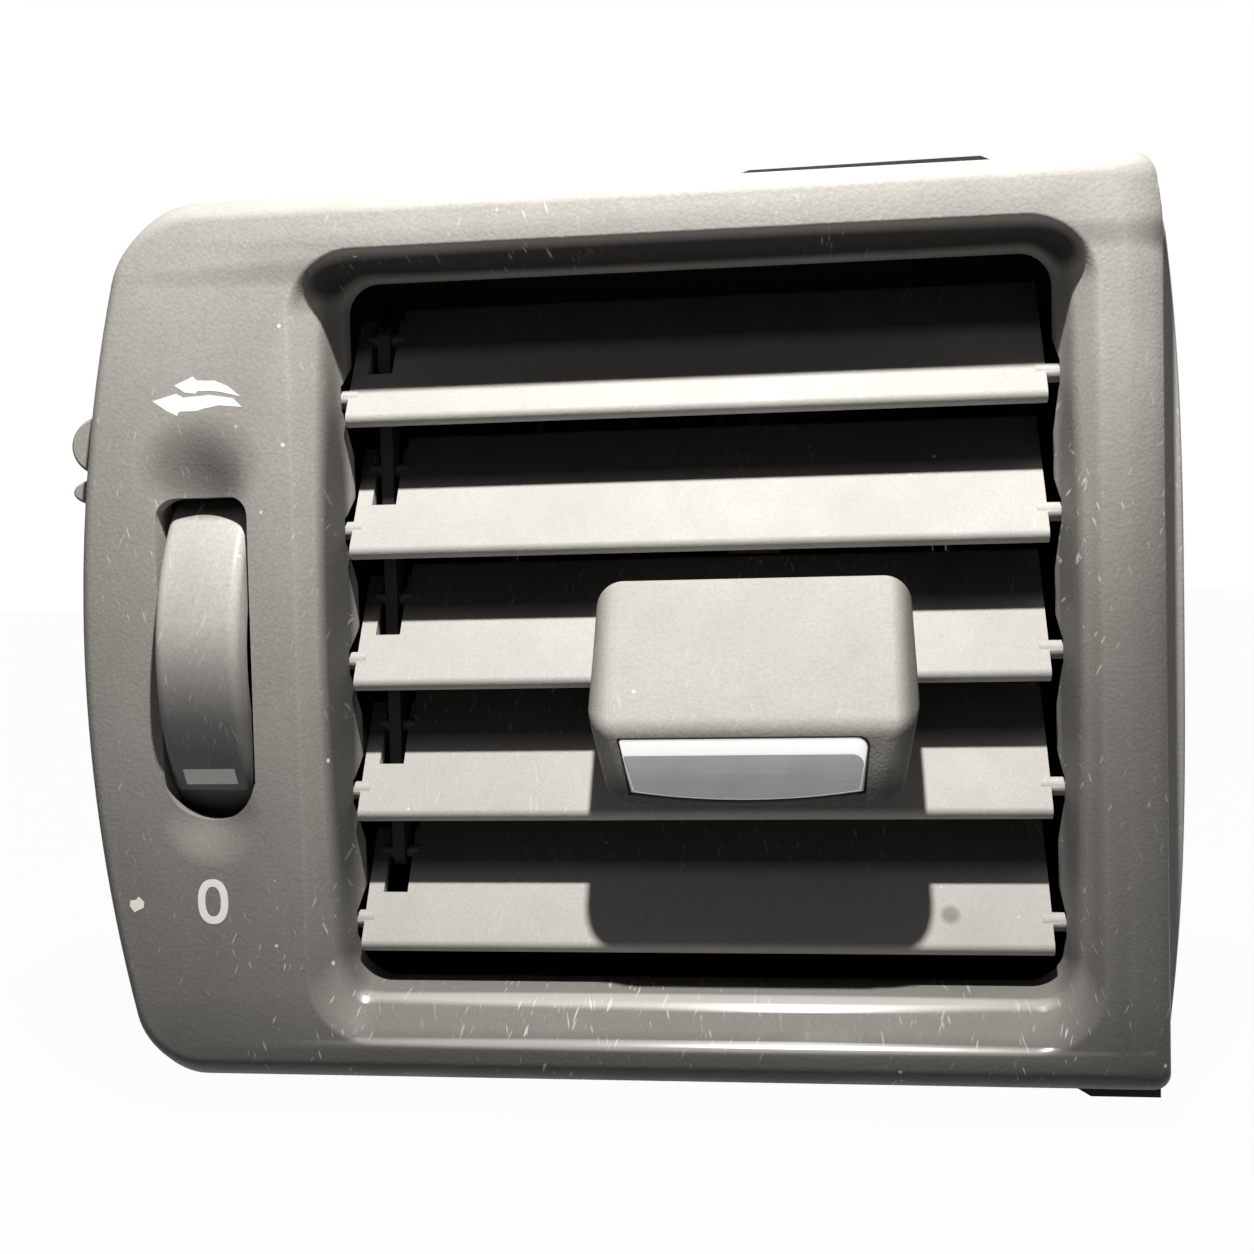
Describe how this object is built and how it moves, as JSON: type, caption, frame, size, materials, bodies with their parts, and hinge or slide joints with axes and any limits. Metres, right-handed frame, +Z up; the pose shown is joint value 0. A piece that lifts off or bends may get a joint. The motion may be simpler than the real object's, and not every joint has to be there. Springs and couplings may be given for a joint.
{
  "type": "dashboard air vent",
  "caption": "Dashboard air vent with tilting vanes, sliding knob, thumbwheel shut-off and a rear duct spigot.",
  "frame": {"origin": "centre of the air opening, in the plane of the bezel's front face", "axes": "+X to the right seen from the cabin, +Y into the dashboard, +Z up"},
  "size_m": [0.1367, 0.1263, 0.1161],
  "materials": {
    "face_plastic": "moulded plastic with a fine grain, scuffed",
    "vane_plastic": "moulded plastic with a fine grain",
    "black_plastic": "black moulded plastic",
    "acetal": "smooth hard plastic",
    "brushed_trim": "brushed, with a bright bevelled edge",
    "wheel_plastic": "satin plastic, worn shiny",
    "foam": "closed-cell foam",
    "spring_steel": "plain spring steel"
  },
  "bodies": {
    "frame": {"duct_housing": "black_plastic", "duct_seal": "foam", "bezel": "face_plastic", "left_vane_bearing": "black_plastic", "right_vane_bearing": "black_plastic", "upper_vertical_vane_bearing": "black_plastic", "lower_vertical_vane_bearing": "black_plastic", "thumbwheel_retainer": "spring_steel"},
    "tilt_vane_1": {"horizontal_vane_1": "vane_plastic"},
    "tilt_vane_2": {"horizontal_vane_2": "vane_plastic"},
    "tilt_vane_3": {"horizontal_vane_3": "vane_plastic"},
    "tilt_vane_4": {"horizontal_vane_4": "vane_plastic"},
    "tilt_vane_5": {"horizontal_vane_5": "vane_plastic"},
    "tilt_tie": {"vane_tie_bar": "black_plastic"},
    "knob": {"knob_shell": "face_plastic", "knob_trim_strip": "brushed_trim", "knob_fork": "acetal", "knob_friction_pad": "foam"},
    "turn_vane_1": {"vertical_vane_1": "black_plastic"},
    "turn_vane_2": {"vertical_vane_2": "black_plastic"},
    "turn_vane_3": {"vertical_vane_3": "black_plastic"},
    "turn_vane_4": {"vertical_vane_4": "black_plastic"},
    "turn_vane_5": {"vertical_vane_5": "black_plastic"},
    "turn_vane_6": {"vertical_vane_6": "black_plastic"},
    "turn_vane_7": {"vertical_vane_7": "black_plastic"},
    "turn_tie": {"vertical_vane_tie_bar": "black_plastic"},
    "wheel": {"thumbwheel": "wheel_plastic"},
    "wheel_link": {"thumbwheel_link": "black_plastic"},
    "damper": {"damper_flap": "black_plastic", "damper_seal": "foam", "damper_crank": "acetal"}
  },
  "joints": [
    {"name": "vane_3_tilt", "type": "hinge", "parent": "frame", "child": "tilt_vane_3", "pos_m": [0, 0.0105, -0.00186], "axis": [-1, 0, 0], "range_deg": [0, 95]},
    {"name": "vane_1_tilt", "type": "hinge", "parent": "frame", "child": "tilt_vane_1", "pos_m": [0, 0.0105, 0.0316], "axis": [-1, 0, 0], "range_deg": [0, 95]},
    {"name": "vane_2_tilt", "type": "hinge", "parent": "frame", "child": "tilt_vane_2", "pos_m": [0, 0.0105, 0.01487], "axis": [-1, 0, 0], "range_deg": [0, 95]},
    {"name": "vane_4_tilt", "type": "hinge", "parent": "frame", "child": "tilt_vane_4", "pos_m": [0, 0.0105, -0.01859], "axis": [-1, 0, 0], "range_deg": [0, 95]},
    {"name": "vane_5_tilt", "type": "hinge", "parent": "frame", "child": "tilt_vane_5", "pos_m": [0, 0.0105, -0.03532], "axis": [-1, 0, 0], "range_deg": [0, 95]},
    {"name": "tilt_tie_swing", "type": "hinge", "parent": "tilt_vane_1", "child": "tilt_tie", "pos_m": [-0.0396, 0.01548, 0.03957], "axis": [-1, 0, 0], "range_deg": [-95, 0]},
    {"name": "knob_slide", "type": "slide", "parent": "tilt_vane_3", "child": "knob", "axis": [1, 0, 0], "range_m": [-0.01955, 0.00445]},
    {"name": "vertical_vane_1_turn", "type": "hinge", "parent": "frame", "child": "turn_vane_1", "pos_m": [-0.042, 0.0535, 0], "axis": [0, 0, 1], "range_deg": [-47, 11]},
    {"name": "vertical_vane_2_turn", "type": "hinge", "parent": "frame", "child": "turn_vane_2", "pos_m": [-0.028, 0.0535, 0], "axis": [0, 0, 1], "range_deg": [-47, 11]},
    {"name": "vertical_vane_3_turn", "type": "hinge", "parent": "frame", "child": "turn_vane_3", "pos_m": [-0.014, 0.0535, 0], "axis": [0, 0, 1], "range_deg": [-47, 11]},
    {"name": "vertical_vane_4_turn", "type": "hinge", "parent": "frame", "child": "turn_vane_4", "pos_m": [0, 0.0535, 0], "axis": [0, 0, 1], "range_deg": [-47, 11]},
    {"name": "vertical_vane_5_turn", "type": "hinge", "parent": "frame", "child": "turn_vane_5", "pos_m": [0.014, 0.0535, 0], "axis": [0, 0, 1], "range_deg": [-47, 11]},
    {"name": "vertical_vane_6_turn", "type": "hinge", "parent": "frame", "child": "turn_vane_6", "pos_m": [0.028, 0.0535, 0], "axis": [0, 0, 1], "range_deg": [-47, 11]},
    {"name": "vertical_vane_7_turn", "type": "hinge", "parent": "frame", "child": "turn_vane_7", "pos_m": [0.042, 0.0535, 0], "axis": [0, 0, 1], "range_deg": [-47, 11]},
    {"name": "turn_tie_swing", "type": "hinge", "parent": "turn_vane_4", "child": "turn_tie", "pos_m": [-0.00272, 0.06208, -0.034], "axis": [0, 0, 1], "range_deg": [-11, 47]},
    {"name": "thumbwheel_turn", "type": "hinge", "parent": "frame", "child": "wheel", "pos_m": [-0.0594, 0.0254, -0.00085], "axis": [-1, 0, 0], "range_deg": [0, 70]},
    {"name": "damper_turn", "type": "hinge", "parent": "frame", "child": "damper", "pos_m": [0, 0.0935, -0.00085], "axis": [-1, 0, 0], "range_deg": [0, 70]},
    {"name": "wheel_link_swing", "type": "hinge", "parent": "wheel", "child": "wheel_link", "pos_m": [-0.0536, 0.02714, 0.009], "axis": [-1, 0, 0], "range_deg": [-70, 0]}
  ],
  "couplings": [
    {"joint": "vane_1_tilt", "follows": "vane_3_tilt", "ratio": 1},
    {"joint": "vane_2_tilt", "follows": "vane_3_tilt", "ratio": 1},
    {"joint": "vane_4_tilt", "follows": "vane_3_tilt", "ratio": 1},
    {"joint": "vane_5_tilt", "follows": "vane_3_tilt", "ratio": 1},
    {"joint": "tilt_tie_swing", "follows": "vane_3_tilt", "ratio": -1},
    {"joint": "vertical_vane_1_turn", "follows": "knob_slide", "rad_per_m": 41.3},
    {"joint": "vertical_vane_2_turn", "follows": "knob_slide", "rad_per_m": 41.3},
    {"joint": "vertical_vane_3_turn", "follows": "knob_slide", "rad_per_m": 41.3},
    {"joint": "vertical_vane_4_turn", "follows": "knob_slide", "rad_per_m": 41.3},
    {"joint": "vertical_vane_5_turn", "follows": "knob_slide", "rad_per_m": 41.3},
    {"joint": "vertical_vane_6_turn", "follows": "knob_slide", "rad_per_m": 41.3},
    {"joint": "vertical_vane_7_turn", "follows": "knob_slide", "rad_per_m": 41.3},
    {"joint": "turn_tie_swing", "follows": "knob_slide", "rad_per_m": -41.3},
    {"joint": "damper_turn", "follows": "thumbwheel_turn", "ratio": 1},
    {"joint": "wheel_link_swing", "follows": "thumbwheel_turn", "ratio": -1}
  ]
}
